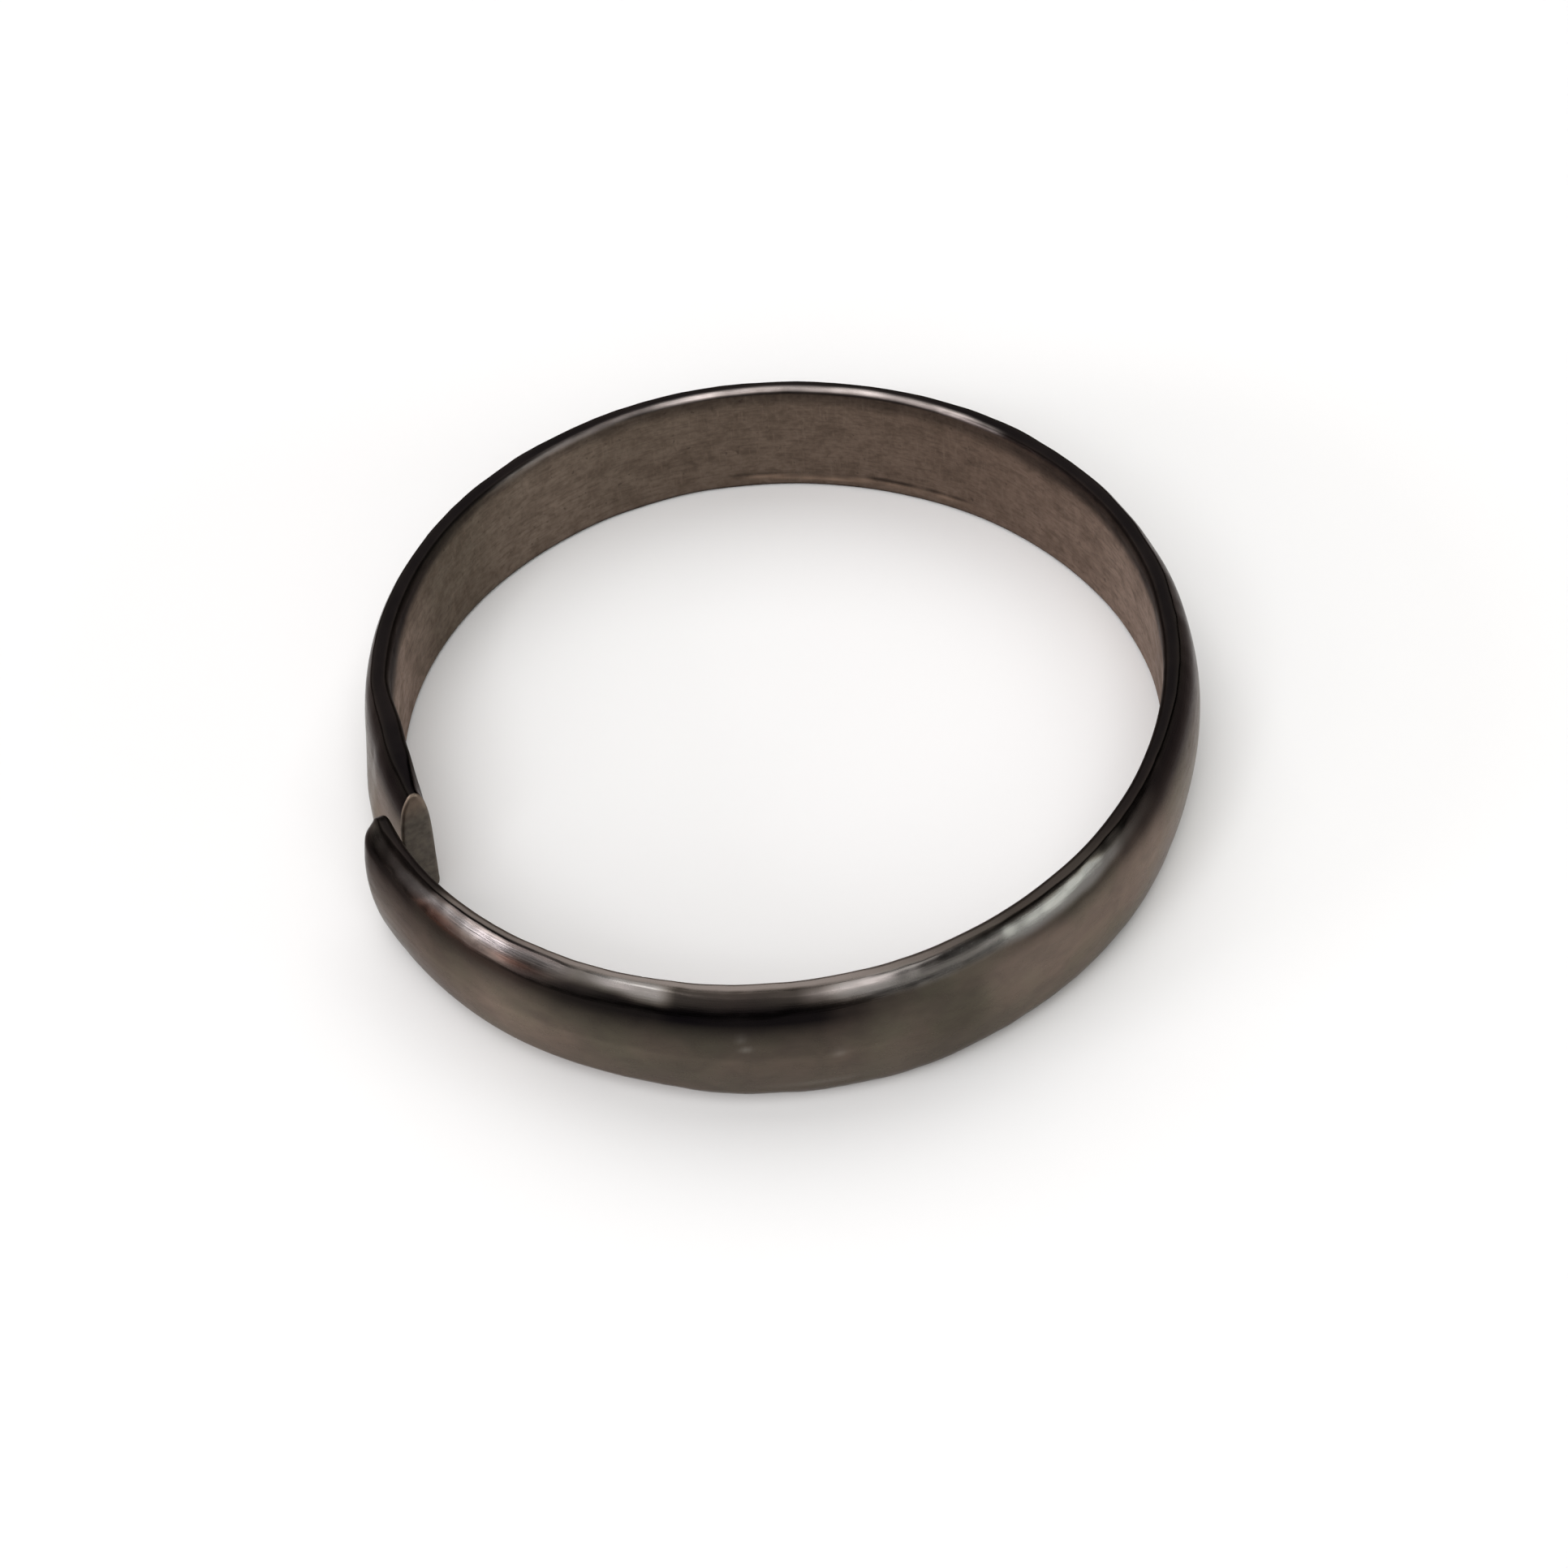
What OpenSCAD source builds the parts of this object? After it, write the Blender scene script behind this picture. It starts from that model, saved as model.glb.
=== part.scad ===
// A plain finger ring: one half-round iron strip bent by hand into an open loop. Its two ends stop just
// short of each other at -X, the back end further in than the front one. The ring lies flat on one rim.
// The origin is on the surface under it, at the centre of the arc of its right half. Azimuths are degrees
// from +X, seen from above.

/* [Strip] */
// Width of the strip, which is the lying ring's height, halfway between its wide and its narrow side
strip_width = 3.45; // [3.1:0.05:4]
// Thickness of the strip at the crown of its outer face
strip_thickness = 0.8; // [0.72:0.01:0.9]
// Width of each filed rim, from the bore wall to the corner where the outer face starts to roll over
rim_width = 0.42; // [0.35:0.01:0.5]
// Bevel that breaks the inner edge of each rim
edge_bevel = 0.16; // [0.08:0.01:0.22]
// Radius of the gently curved crown across the outer face
crown_radius = 5.9; // [5:0.1:9]
// Half of the crown's width; past it the outer face rolls over to the rim
crown_half_width = 1.15; // [0.9:0.05:1.2]

/* [Loop] */
// Inner radius of the right half of the loop, a ring of 19 mm inside
main_radius = 9.5; // [8.5:0.1:11]
// How much tighter than that the back end is bent, so that it ends inside the front end
back_tightening = 0.75; // [0.7:0.05:1.5]
// Sweep of the back end, from the top of the plan
back_sweep = 113; // [105:0.5:114]
// How much tighter than the right half the front end is bent
front_tightening = 0.05; // [-0.5:0.05:0.1]
// Sweep of the front end, from the bottom of the plan
front_sweep = 70.5; // [60:0.5:72]

/* [Taper] */
// Growth of the strip's width from the loop's centre to its wide side
taper_rise = 0.2; // [0:0.01:0.25]
// Azimuth of the wide side
wide_side = -58; // [-90:1:-30]

/* [Hidden] */
$fn = 180;

// The crown is an arc about a centre on the mid line. The shoulder is a smaller arc, tangent to it
// at crown_half_width, that ends at the rim's corner.
crown_centre = strip_thickness - crown_radius;
crown_angle = asin(crown_half_width / crown_radius);
corner = [rim_width - crown_centre, strip_width / 2];
corner_reach = corner * [cos(crown_angle), sin(crown_angle)];
shoulder_shift = (crown_radius * crown_radius - corner * corner) / (2 * (crown_radius - corner_reach));
shoulder_radius = crown_radius - shoulder_shift;
shoulder_centre = [crown_centre + shoulder_shift * cos(crown_angle), shoulder_shift * sin(crown_angle)];

// The rims are planes that open towards the wide side, each tilted by half the taper. The strip is drawn
// wide enough for the widest place, and the rim planes cut it to width.
tilt = atan(taper_rise / (main_radius + strip_thickness / 2)) / 2;
section_width = strip_width + 2 * taper_rise;
// Side of a block that reaches past the whole ring
block = 4 * (main_radius + strip_thickness);

// How far the bevel's cutter reaches past the edge, and past both ends of the strip in degrees
bevel_overcut = 0.1;
bevel_overrun = 1;

// Outer face and bore wall of the strip in section: X is outwards from the bore wall, Y is up
module strip_section() {
    intersection() {
        translate([crown_centre, 0]) circle(r = crown_radius);
        translate([0, -crown_half_width]) square([strip_thickness, 2 * crown_half_width]);
    }
    for (side = [0, 1]) mirror([0, side]) shoulder_section();
}

// From the crown's edge to past the rim
module shoulder_section() {
    intersection() {
        translate(shoulder_centre) circle(r = shoulder_radius);
        translate([0, crown_half_width]) square([strip_thickness, section_width / 2 - crown_half_width]);
    }
}

// What the bevel takes off, with the rim's plane at Y = 0
module bevel_section() {
    reach = edge_bevel + bevel_overcut;
    polygon([[reach, bevel_overcut], [-bevel_overcut, bevel_overcut], [-bevel_overcut, -reach]]);
}

// One stretch: a section bent to an inner radius about an upright axis at y, from an azimuth on
module bent(y, radius, start, sweep) {
    translate([0, y, 0])
        rotate([0, 0, start])
            rotate_extrude(angle = sweep)
                translate([radius, 0]) children();
}

// A section bent along the whole strip. Where the arcs meet, at 90 and at -90 degrees, they share a
// tangent, because the centres of all three are on the Y axis.
module along_strip(overrun) {
    bent(0, main_radius, -90, 180) children();
    bent(back_tightening, main_radius - back_tightening, 90, back_sweep + overrun) children();
    bent(-front_tightening, main_radius - front_tightening, -90, -front_sweep - overrun) children();
}

// Raises the wide side by half the taper
module tilted() {
    rotate([0, 0, wide_side]) rotate([0, -tilt, 0]) rotate([0, 0, -wide_side]) children();
}

// Everything above one rim, with the bevel on its inner edge
module rim_cut() {
    translate([0, 0, strip_width / 2])
        tilted() {
            translate([-block / 2, -block / 2, 0]) cube(block);
            along_strip(bevel_overrun) bevel_section();
        }
}

module band() {
    color("dimgray")
        tilted() translate([0, 0, strip_width / 2])
            difference() {
                along_strip(0) strip_section();
                for (side = [0, 1]) mirror([0, 0, side]) rim_cut();
            }
}

band();
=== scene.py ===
"""Looks of a plain open finger ring: a half-round iron strip bent into a loop, lying on one rim.

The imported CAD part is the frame. One piece replaces its single node: the same strip swept along the same
path with the same section, finer, with worn edges, filed ends, small dents and a procedural finish.
Lengths are in millimetres unless a comment says metres. The mesh, the bump and the camera's place are
turned into metres where they are made. Azimuths are degrees from +X seen from above, and -90 faces the
camera.
"""
import math

import bpy
import numpy as np
from mathutils import Matrix, Vector, noise

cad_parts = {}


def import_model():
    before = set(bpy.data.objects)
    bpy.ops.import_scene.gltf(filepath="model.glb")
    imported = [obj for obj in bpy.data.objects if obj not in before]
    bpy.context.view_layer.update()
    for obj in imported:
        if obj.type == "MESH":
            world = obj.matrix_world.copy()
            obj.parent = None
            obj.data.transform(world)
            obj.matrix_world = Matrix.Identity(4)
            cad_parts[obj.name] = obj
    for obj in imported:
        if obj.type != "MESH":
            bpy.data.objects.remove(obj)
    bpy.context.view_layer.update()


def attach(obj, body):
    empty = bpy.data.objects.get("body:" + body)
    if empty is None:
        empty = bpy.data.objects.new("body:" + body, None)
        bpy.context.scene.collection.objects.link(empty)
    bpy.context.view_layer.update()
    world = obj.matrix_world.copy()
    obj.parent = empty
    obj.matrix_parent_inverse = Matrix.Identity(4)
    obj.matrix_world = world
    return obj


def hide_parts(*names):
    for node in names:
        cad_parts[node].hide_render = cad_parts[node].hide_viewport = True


MM = 0.001

# Strip and taper, as in the CAD part
STRIP_WIDTH = 3.45
STRIP_THICKNESS = 0.8
RIM_WIDTH = 0.42
CROWN_RADIUS = 5.9
CROWN_HALF_WIDTH = 1.15
MAIN_RADIUS = 9.5
TAPER_RISE = 0.2
WIDE_SIDE = math.radians(-58)
TILT = math.atan(TAPER_RISE / (MAIN_RADIUS + STRIP_THICKNESS / 2)) / 2

# The three arcs of the bore wall from the back end on: centre on the Y axis, radius, azimuth at its
# start, and sweep
ARCS = [
    (0.75, 8.75, 203, -113),
    (0.0, 9.5, 90, -180),
    (-0.05, 9.45, -90, -70.5),
]

# How far the hand-bent strip departs from the drawn loop. After each azimuth: how far out the bore wall,
# the outer face and the rim's outer corner sit, how far the top leans in and how far the bottom leans out
UNEVEN = [
    (-162, -0.02, 0.07, -0.16, 0.0, 0.0),
    (-150, 0.01, 0.03, -0.17, 0.0, 0.0),
    (-128, -0.01, 0.06, -0.17, 0.0, 0.0),
    (-112, -0.01, 0.02, -0.1, 0.0, 0.0),
    (-98, 0.02, 0.12, -0.04, 0.0, 0.0),
    (-78, 0.03, 0.13, 0.0, 0.0, 0.0),
    (-55, -0.01, 0.04, 0.0, 0.0, 0.0),
    (-40, 0.0, -0.01, 0.0, 0.0, 0.0),
    (-24, 0.0, -0.06, 0.0, 0.0, 0.0),
    (0, 0.02, 0.08, 0.0, 0.0, 0.0),
    (10, 0.07, 0.08, 0.0, 0.0, 0.0),
    (24, 0.08, 0.04, 0.0, 0.0, 0.0),
    (40, 0.05, 0.0, 0.0, 0.0, 0.0),
    (75, 0.0, 0.0, -0.08, 0.0, 0.0),
    (118, 0.04, -0.04, -0.08, 0.0, 0.0),
    (144, 0.08, 0.0, -0.07, 0.0, 0.0),
    (176, 0.08, 0.0, 0.0, 0.04, 0.02),
    (188, 0.0, 0.06, 0.0, 0.2, 0.19),
    (192, -0.01, 0.07, 0.0, 0.18, 0.2),
    (198, -0.02, 0.04, 0.0, 0.15, 0.1),
    (203, -0.01, 0.0, 0.0, 0.1, 0.02),
]
# How much further than the drawn strip the worn front tip reaches
FRONT_REACH = 0.22

# Painted dark reflection: the darkness that the iron mirrors, painted into its colour as near black, from 0
# to 1.
# After each azimuth: on the rim, how far past the rim's corner that reaches, on the shoulder next to it, on
# the band between the shoulder and the crown, the height where shoulder and band meet, and the distance
# over which the band fades out down the crown
DARK_REFLECTION = [
    (-162, 0.96, 0.08, 0.6, 0.99, 1.45, 1.25),
    (-155, 0.96, 0.08, 0.5, 0.96, 1.42, 1.0),
    (-149, 0.97, 0.08, 0.2, 0.92, 1.38, 0.85),
    (-145, 0.94, 0.08, 0.0, 0.8, 1.42, 0.8),
    (-140, 0.36, 0.08, 0.0, 0.8, 1.47, 0.75),
    (-130, 0.32, 0.08, 0.0, 0.78, 1.47, 0.7),
    (-125, 0.25, 0.05, 0.3, 0.86, 1.49, 0.7),
    (-119, 0.12, 0.0, 0.4, 0.93, 1.54, 0.7),
    (-114, 0.04, -0.04, 0.0, 0.95, 1.54, 0.78),
    (-108, 0.02, -0.04, 0.0, 0.96, 1.5, 0.82),
    (-105, 0.04, -0.04, 0.85, 1.0, 1.52, 0.72),
    (-96, 0.04, -0.04, 0.9, 0.99, 1.54, 0.66),
    (-90, 0.04, -0.04, 0.85, 0.99, 1.54, 0.68),
    (-87, 0.05, -0.04, 0.6, 0.99, 1.52, 0.7),
    (-83, 0.05, -0.04, 0.0, 0.87, 1.5, 0.7),
    (-78, 0.2, -0.04, 0.0, 0.62, 1.45, 0.7),
    (-73, 0.35, -0.02, 0.05, 0.4, 1.4, 0.6),
    (-68, 0.5, 0.0, 0.1, 0.25, 1.4, 0.6),
    (-63, 0.6, 0.05, 0.05, 0.25, 1.4, 0.5),
    (-57, 0.75, 0.08, 0.0, 0.45, 1.3, 0.5),
    (-50, 0.74, 0.07, 0.0, 0.6, 1.3, 0.5),
    (-46, 0.78, 0.08, 0.0, 0.6, 1.3, 0.5),
    (-42, 0.87, 0.15, 0.15, 0.6, 1.35, 0.5),
    (-38, 0.93, 0.15, 0.6, 0.72, 1.4, 0.5),
    (-33, 0.97, 0.13, 0.82, 0.88, 1.4, 0.52),
    (-28, 0.98, 0.13, 0.99, 0.97, 1.4, 0.7),
    (-20, 0.98, 0.13, 1.0, 1.0, 1.4, 0.85),
    (0, 0.98, 0.14, 1.0, 0.98, 1.4, 0.6),
    (160, 0.98, 0.1, 0.98, 0.9, 1.4, 0.5),
    (178, 0.98, 0.1, 0.98, 0.9, 1.35, 0.45),
    (186, 0.98, 0.1, 1.0, 1.0, 1.35, 0.65),
    (196, 0.98, 0.1, 1.0, 1.0, 1.35, 0.55),
    (203, 0.98, 0.1, 1.0, 1.0, 1.3, 0.4),
]
# Painted dark reflection as a dark line along the rim's outer corner at the front left: where it starts and
# ends, over which azimuths it sets in and fades, how dark it is, how far past the corner its middle is, and
# its spread
CORNER_DARK_START, CORNER_DARK_END, CORNER_DARK_RISE, CORNER_DARK_FALL = -152, -118, 8, 14
CORNER_DARK_STRENGTH, CORNER_DARK_MIDDLE, CORNER_DARK_SPREAD = 0.85, 0.01, 0.035
# Half of the soft step across the rim's outer corner, how ragged that is, and half of the soft step
# between shoulder and band
CORNER_SOFT, CORNER_RAGGED, MEETING_SOFT = 0.045, 0.02, 0.12
# How far the step between shoulder and band wavers, the band's height, how far that wavers, and how
# steeply the band falls off
MEETING_WAVER, BAND_TOP, BAND_WAVER, BAND_FALL = 0.03, 1.15, 0.1, 1.3
# Painted dark reflection on the lower rim, as a share of the upper rim's
LOWER_RIM = 0.8
# Where the bore wall leaves the rim's painted dark reflection: depth from the wall, and distance below the
# rim
WALL_DEPTH, WALL_DROP = (0.1, 0.2), (0.06, 0.16)
# How much the painted dark reflection is thinned on the rim's outer corner and its inner edge, so that they
# show lighter: share, middle or depth, and spread or drop
CORNER_THINNING, CORNER_THINNING_MIDDLE, CORNER_THINNING_SPREAD = 0.07, 0.01, 0.07
EDGE_THINNING, EDGE_THINNING_DEPTH, EDGE_THINNING_DROP = 0.04, (0.08, 0.16), (0.2, 0.35)
# Painted highlight: a line of bright metal colour along the far rim's inner edge, which also clears the
# painted dark there. How strong, and how far from the bore wall, after each azimuth
HIGHLIGHT_LINE = [
    (46, 0.0, 0.05),
    (50, 0.2, 0.06),
    (55, 0.8, 0.09),
    (60, 0.48, 0.11),
    (65, 0.42, 0.13),
    (70, 1.0, 0.145),
    (73, 0.75, 0.14),
    (76, 0.45, 0.13),
    (80, 0.38, 0.14),
    (85, 0.66, 0.13),
    (90, 0.55, 0.11),
    (95, 1.0, 0.1),
    (100, 0.48, 0.085),
    (105, 0.16, 0.07),
    (110, 0.26, 0.035),
    (115, 0.29, 0.01),
    (120, 0.27, 0.0),
    (128, 0.12, -0.03),
    (136, 0.0, -0.05),
]
# Painted light and shade on the bore wall, after each azimuth: how much lighter it is painted, how dark it
# is painted next to its upper edge, and how far down
BORE_PAINTED_LIGHT_AND_SHADE = [
    (-20, 0.8, 0.9, 0.9),
    (0, 0.8, 0.9, 0.9),
    (10, 1.5, 0.95, 0.85),
    (20, 1.3, 0.9, 0.85),
    (30, 0.6, 0.88, 0.7),
    (40, 0.35, 0.75, 0.85),
    (50, 0.05, 0.6, 0.7),
    (60, 0.0, 0.55, 0.6),
    (95, 0.0, 0.5, 0.55),
    (110, 0.05, 0.5, 0.55),
    (122, 0.35, 0.4, 0.5),
    (132, 0.3, 0.5, 0.45),
    (141, 0.05, 0.75, 0.5),
    (150, 0.1, 0.9, 0.6),
    (158, 0.7, 0.98, 0.75),
    (165, 1.5, 1.0, 1.05),
    (171, 2.3, 1.0, 1.5),
    (203, 1.8, 1.0, 1.5),
]
# Painted reflection: how much lighter or darker the crown of the outer face is painted, after each azimuth
CROWN_PAINTED_LIGHT = [
    (-162, 1.05),
    (-150, 1.15),
    (-141, 1.25),
    (-137, 1.55),
    (-131, 1.85),
    (-127, 1.65),
    (-121, 1.3),
    (-115, 1.16),
    (-105, 1.0),
    (-90, 0.93),
    (-83, 0.97),
    (-78, 1.05),
    (-73, 0.85),
    (-68, 0.82),
    (-63, 1.2),
    (-58, 1.45),
    (-42, 1.65),
    (-34, 2.1),
    (-28, 2.25),
    (-20, 2.5),
    (-10, 2.15),
    (0, 1.6),
    (160, 1.25),
    (186, 1.4),
    (191, 1.9),
    (203, 1.7),
]
# Spread of the painted highlight line along the far rim, how steeply it falls off, and how far it leans
# down the wall
HIGHLIGHT_LINE_SPREAD, HIGHLIGHT_LINE_FALL, HIGHLIGHT_LINE_LEAN = 0.08, 3, 0.6
# Share of the painted dark reflection under the bore's upper edge before it starts to fade, and how far
# that wavers
LIP_PLATEAU, LIP_WAVER = 0.35, 0.05
# Painted dark reflection in the bore at the back end: strength, azimuths and distances below the rim over
# which it sets in and fades
END_DARK, END_DARK_AZIMUTHS, END_DARK_DROP = 0.99, (185, 194), (0.7, 1.1)
# The scratched lip low in the bore: azimuths, softness of its ends, height above the lower edge and how
# far that wanders, spread of its crest, and of the dark line above it
LIP_START, LIP_END, LIP_SOFT = 48, 96, 12
LIP_HEIGHT, LIP_WANDER, LIP_SPREAD = 0.34, 0.08, 0.06
LINE_ABOVE, LINE_SPREAD = 0.11, 0.035
# How whole the lip is and how far that varies along it, how light its crest is, how dark the line, and
# how whole the lip has to be for the line to vanish
LIP_WHOLE, LIP_BROKEN, CREST_LIGHT, LINE_DARK, LINE_GONE = 0.5, 0.7, 1.3, 1.4, 1.2
# Small marks on the outer face: azimuth, height, their spreads and strength
RUST_MARKS = [(-142, 1.4, 4, 0.1, 0.8), (-128, 1.45, 4, 0.07, 0.8), (-133, 1.2, 12, 0.12, 0.35)]
# The second list is painted highlights: spots of bright metal colour where the shoulder shows highlights
PAINTED_HIGHLIGHTS = [
    (-141, 1.53, 2.5, 0.05, 0.05),
    (-133, 1.6, 3.0, 0.07, 0.5),
    (-113, 1.66, 2.5, 0.06, 0.22),
    (-108.5, 1.65, 2, 0.06, 0.1),
    (-84, 1.7, 3, 0.05, 0.2),
    (-79, 1.74, 3, 0.05, 0.4),
    (-63, 1.62, 2.5, 0.05, 0.12),
]
PALE_MARKS = [
    (-97, 0.78, 0.6, 0.07, 0.85),
    (-96.5, 0.45, 0.7, 0.07, 0.6),
    (-104, 0.8, 1.6, 0.04, 0.2),
    (-85, 0.05, 0.8, 0.08, 0.45),
    (-88, -0.98, 5, 0.05, 0.35),
]
# Rust low on the outer face, and painted light there, which lightens the low face where it mirrors the
# shaded
# floor next to the ring: strength, and how far below the mid plane they set in
LOW_RUST, LOW_RUST_DROP = 0.4, (1.5, 1.62)
LOW_PAINTED_LIGHT, LOW_PAINTED_LIGHT_DROP = 0.18, (0, 1.3)
# Heights over which the crown's painted lightness gives way to the shoulder's
CROWN_PAINTED_LIGHT_END = (0.9, 1.35)
# Lighter top of the cut faces: strength, and heights over which it sets in
CUT_TOP, CUT_TOP_HEIGHTS = 0.42, (0.8, 1.5)
# Painted light and shade: how much lighter the bore is painted halfway up than at its top, and the bore's
# height for that
BORE_PAINTED_SLOPE, BORE_HEIGHT = 0.15, 3.4

# Points round half of the section, and rings along the strip
BORE_POINTS, EDGE_POINTS, RIM_POINTS = 16, 9, 5
CORNER_POINTS, SHOULDER_POINTS, CROWN_POINTS = 5, 13, 8
RINGS = 740
# Cut faces: rings of the worn edge, and rings on the face itself
EDGE_RINGS, FACE_RINGS = 6, 7
# How far the innermost ring of a face shrinks in depth, towards which share of the thickness, and how
# much less it shrinks in height
FACE_SHRINK, FACE_MIDDLE, FACE_HEIGHT_SHRINK = 0.93, 0.47, 0.2

# Wear: depth and height of the inner edge's rounding, and what it gains at the front and at the back
# end; the least flat between the two edges; the outer corner's rounding, and what it gains at the front
EDGE_DEPTH, EDGE_DEPTH_FRONT, EDGE_DEPTH_BACK = 0.13, 0.12, 0.16
EDGE_HEIGHT, EDGE_HEIGHT_FRONT, EDGE_HEIGHT_BACK = 0.22, 0.14, 1.0
LEAST_FLAT = 0.03
CREASE_ROUND, CREASE_ROUND_FRONT = 0.045, 0.1
# How far the inner edge and the outer corner waver, and the share of the corner's fine noise in that
EDGE_WAVE, CREASE_WAVE, FINE_CREASE_WAVE = 0.03, 0.022, 0.6
# Distances from the back end over which its own rounding fades out
BACK_END_FADE = (0.2, 1.6)
# Distances below the mid plane over which the bottom's lean sets in
BOTTOM_LEAN = (-0.5, 1.0)
# Rounding of the cut faces' edges, of the tips' corners, and of the front tip's nose seen from above
CUT_ROUND = 0.09
BACK_TIP_ROUND = 0.12
FRONT_TIP_ROUND = 0.42
FRONT_NOSE_ROUND, FRONT_NOSE_THINNING = 0.8, 0.5
# Relief: hammered waves, dents, pits and their share outside, the lip's burr and its spread, and the
# filed faces. It fades out over the last heights above the floor
BEND_WAVE = 0.007
DENT_DEPTH = 0.012
PIT_DEPTH, PITS_OUTSIDE = 0.016, 0.15
BURR_HEIGHT, BURR_SPREAD = 0.018, 0.05
FACE_RELIEF = 0.004
RESTING = (0.02, 0.25)
# Depths from the bore wall over which the bore's relief ends, the outer face's sets in, and the bore's
# finish ends
BORE_RELIEF_END, OUTER_RELIEF_START, BORE_FINISH_END = (0.02, 0.2), (0.35, 0.6), (0.03, 0.16)
# Noise values over which a dent and a pit set in, and the share of the pits' fine noise
DENT_START, PIT_START, FINE_PITS = (0.42, 0.75), (0.45, 0.85), 0.5
# Noises of the shape and the wear: waves in a millimetre, and seed
SHAPE_NOISES = {
    "corner": (0.9, 1),
    "fine_corner": (2.3, 2),
    "edge": (0.7, 3),
    "hammering": (0.45, 4),
    "dents": (1.7, 5),
    "pits": (3.1, 6),
    "fine_pits": (6.3, 7),
    "lip": (0.8, 8),
    "cut_faces": (2.2, 9),
    "waver": (0.35, 10),
    "meeting": (1.6, 11),
    "broken_lip": (2.1, 12),
    "ragged_corner": (2.9, 13),
}
# How far one step of the seed moves a noise
SEED_STEP = (17.3, 5.9, 11.1)

# Base colours of the iron, linear. The outer face mixes warm and olive, the bore from its left to its
# right, and the cut faces light and dark
OUTER_WARM, OUTER_OLIVE = (0.13, 0.1, 0.081), (0.11, 0.096, 0.0715)
# The bore's third colour is painted light, mixed in where the bore is painted lighter
BORE_LEFT, BORE_RIGHT, PAINTED_BORE_LIGHT = (0.127, 0.107, 0.081), (0.148, 0.1, 0.077), (0.36, 0.27, 0.22)
CUT_LIGHT, CUT_DARK = (0.175, 0.153, 0.127), (0.12, 0.107, 0.092)
# The third is the bright metal colour of the painted highlights
SHOULDER_METAL, RIM_METAL, HIGHLIGHT_METAL = (0.16, 0.153, 0.148), (0.177, 0.153, 0.142), (0.64, 0.57, 0.555)
# Pale is also painted light low on the outer face, and black is the colour of the painted dark reflection
RUST, PALE, PAINTED_DARK = (0.15, 0.075, 0.052), (0.26, 0.238, 0.21), (0.0044, 0.0036, 0.0042)
LIP_CREST, LIP_LINE = (0.3, 0.21, 0.155), (0.035, 0.025, 0.02)
SPECULAR_TINT = (0.6, 0.57, 0.56)
# Distances from the back end over which the bore's left gives way to its right
BORE_TURN = (9, 27)
# How much of the bare metal's colour shows on the shoulder and the rim, and of the bore's painted light
SHOULDER_SHOWN, RIM_SHOWN, PAINTED_BORE_LIGHT_SHOWN = 0.8, 0.9, 0.5

# Noises of the finish: waves in a millimetre along, up and through the strip, detail, and distortion
NOISES = {
    "clouds": ((0.5, 0.5, 0.5), 3, 0.0),
    "grain": ((2, 5, 5), 4, 0.0),
    "streaks": ((1.2, 26, 26), 2, 0.0),
    "mottle": ((1.3, 1.7, 1.7), 6, 0.5),
    "blotches": ((4, 6, 6), 5, 0.3),
    "lengthways": ((1.6, 13, 13), 3, 0.0),
    "crossways": ((11, 1.7, 1.7), 3, 0.0),
    "speckle": ((7, 9, 9), 3, 0.0),
    "specks": ((5.5, 4.5, 4.5), 2, 0.0),
}
# Stains over the base colour, one on the other: noise, the values where it sets in and is full, strength
# there, and colour
OUTER_STAINS = [
    ("mottle", 0.42, 0.68, 0.45, (0.075, 0.06, 0.052)),
    ("grain", 0.35, 0.7, 0.3, (0.088, 0.073, 0.057)),
]
BORE_STAINS = [
    ("mottle", 0.44, 0.66, 0.4, (0.082, 0.058, 0.043)),
    ("blotches", 0.46, 0.66, 0.36, (0.075, 0.054, 0.04)),
    ("speckle", 0.5, 0.7, 0.22, (0.062, 0.043, 0.033)),
    ("speckle", 0.47, 0.33, 0.16, (0.24, 0.18, 0.14)),
    ("lengthways", 0.5, 0.72, 0.4, (0.07, 0.05, 0.038)),
    ("crossways", 0.55, 0.75, 0.4, (0.21, 0.157, 0.122)),
    ("specks", 0.66, 0.73, 0.45, (0.04, 0.029, 0.023)),
]
# What else the noises set: noise, two of its values, and what it gives at each
OLIVE_SHARE = ("clouds", 0.38, 0.62, 0, 1)
CUT_DARK_SHARE = ("blotches", 0.35, 0.65, 0, 1)
# The next two: how fully the painted dark reflection shows, and how fully the painted highlights show
DARK_REFLECTION_SHARE = ("clouds", 0.3, 0.6, 0.97, 1)
HIGHLIGHT_SHARE = ("grain", 0.3, 0.6, 0.6, 1)
SATIN_ROUGHNESS = ("grain", 0.3, 0.7, 0.2, 0.3)
MATTE_ROUGHNESS = ("mottle", 0.3, 0.7, 0.42, 0.56)
STREAK_RELIEF = ("streaks", 0.3, 0.7, 0, 0.2)
# Bump: height of the pitting, strength, and distance
PITTING_RELIEF = 1.4
BUMP_STRENGTH, BUMP_DISTANCE = 0.35, 0.012

# Camera, fitted to the photograph
FRAME_PIXELS = 1932
FOCAL_PIXELS = 6000
SENSOR = 36
CAMERA_TARGET = (0.291, -0.581, 0)
CAMERA_DISTANCE = 117.05
CAMERA_ELEVATION = math.radians(48.63)
CAMERA_ROLL = math.radians(-6.07)
# In metres
CAMERA_CLIP = (0.001, 100)

# Floor and lights, in metres
FLOOR_SIZE = 8
FLOOR_COLOUR = (0.87, 0.874, 0.874)
FLOOR_ROUGHNESS, FLOOR_SPECULAR = 0.9, 0.2

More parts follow.
